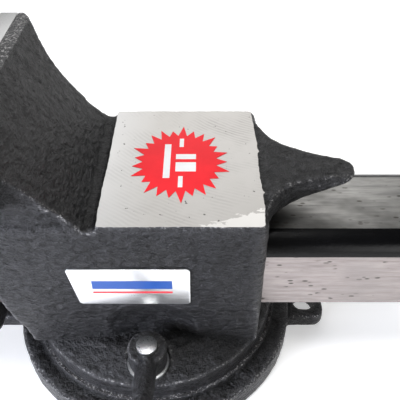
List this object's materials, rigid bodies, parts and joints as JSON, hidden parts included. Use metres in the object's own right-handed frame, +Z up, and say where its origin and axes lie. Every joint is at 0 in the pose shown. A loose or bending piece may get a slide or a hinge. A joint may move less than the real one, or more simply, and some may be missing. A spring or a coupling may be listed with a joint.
{
  "type": "bench vise",
  "caption": "Heavy swivel-base bench vise with ground anvil pad, horn, rectangular slide bar, jaw plates, lead screw and sliding handle.",
  "frame": {"origin": "on the swivel axis at the underside of the base, which is the centre of the bench bolt circle", "axes": "+X along the vise from the handle to the horn, +Y away from the name plate, +Z up"},
  "size_m": [0.418, 0.296, 0.182],
  "materials": {
    "casting_paint": "rough black casting paint",
    "slide_casting": "ground bar flats, black painted jaw and corners",
    "jaw_steel": "serrated, hardened and ground",
    "black_steel": "blackened screws and bolts",
    "screw_steel": "turned and lightly oiled",
    "zinc_steel": "zinc plated",
    "handle_chrome": "plated, polished",
    "nut_iron": "machined grey iron",
    "lever_paint": "black paint",
    "ball_plastic": "polished black",
    "plate_metal": "bright rolled sheet with a printed border",
    "sticker_film": "red printed film"
  },
  "bodies": {
    "base": {"swivel_base": "casting_paint"},
    "body": {"static_body": "casting_paint", "static_jaw_plate": "jaw_steel", "static_jaw_screws": "black_steel", "name_plate": "plate_metal", "pad_sticker": "sticker_film", "main_nut": "nut_iron", "nut_bolt": "black_steel", "swivel_pin": "black_steel", "swivel_washer": "zinc_steel", "lock_t_bolts": "zinc_steel", "lock_washers": "zinc_steel"},
    "jaw": {"moving_jaw": "slide_casting", "moving_jaw_plate": "jaw_steel", "moving_jaw_screws": "black_steel"},
    "screw": {"main_screw": "screw_steel", "thrust_washer": "zinc_steel", "screw_collar": "black_steel", "collar_pin": "black_steel"},
    "handle": {"handle_bar": "handle_chrome", "handle_knobs": "handle_chrome"},
    "near_lever": {"lock_lever_near": "lever_paint", "lock_ball_near": "ball_plastic"},
    "far_lever": {"lock_lever_far": "lever_paint", "lock_ball_far": "ball_plastic"}
  },
  "joints": [
    {"name": "swivel", "type": "hinge", "parent": "base", "child": "body", "pos_m": [0, 0, 0.018], "axis": [0, 0, 1], "continuous": true},
    {"name": "jaw_slide", "type": "slide", "parent": "body", "child": "jaw", "axis": [-1, 0, 0], "range_m": [0, 0.15]},
    {"name": "screw_spin", "type": "hinge", "parent": "jaw", "child": "screw", "pos_m": [-0.2, 0, 0.068], "axis": [-1, 0, 0], "range_deg": [0, 9000]},
    {"name": "handle_slide", "type": "slide", "parent": "screw", "child": "handle", "axis": [0, 1, 0], "range_m": [-0.1, 0.1]},
    {"name": "near_lock_turn", "type": "hinge", "parent": "body", "child": "near_lever", "pos_m": [0, -0.063, 0.0426], "axis": [0, 0, 1], "range_deg": [-60, 60]},
    {"name": "far_lock_turn", "type": "hinge", "parent": "body", "child": "far_lever", "pos_m": [0, 0.063, 0.0426], "axis": [0, 0, 1], "range_deg": [-60, 60]}
  ],
  "couplings": [
    {"joint": "jaw_slide", "follows": "screw_spin", "m_per_rad": 0.00095493}
  ]
}
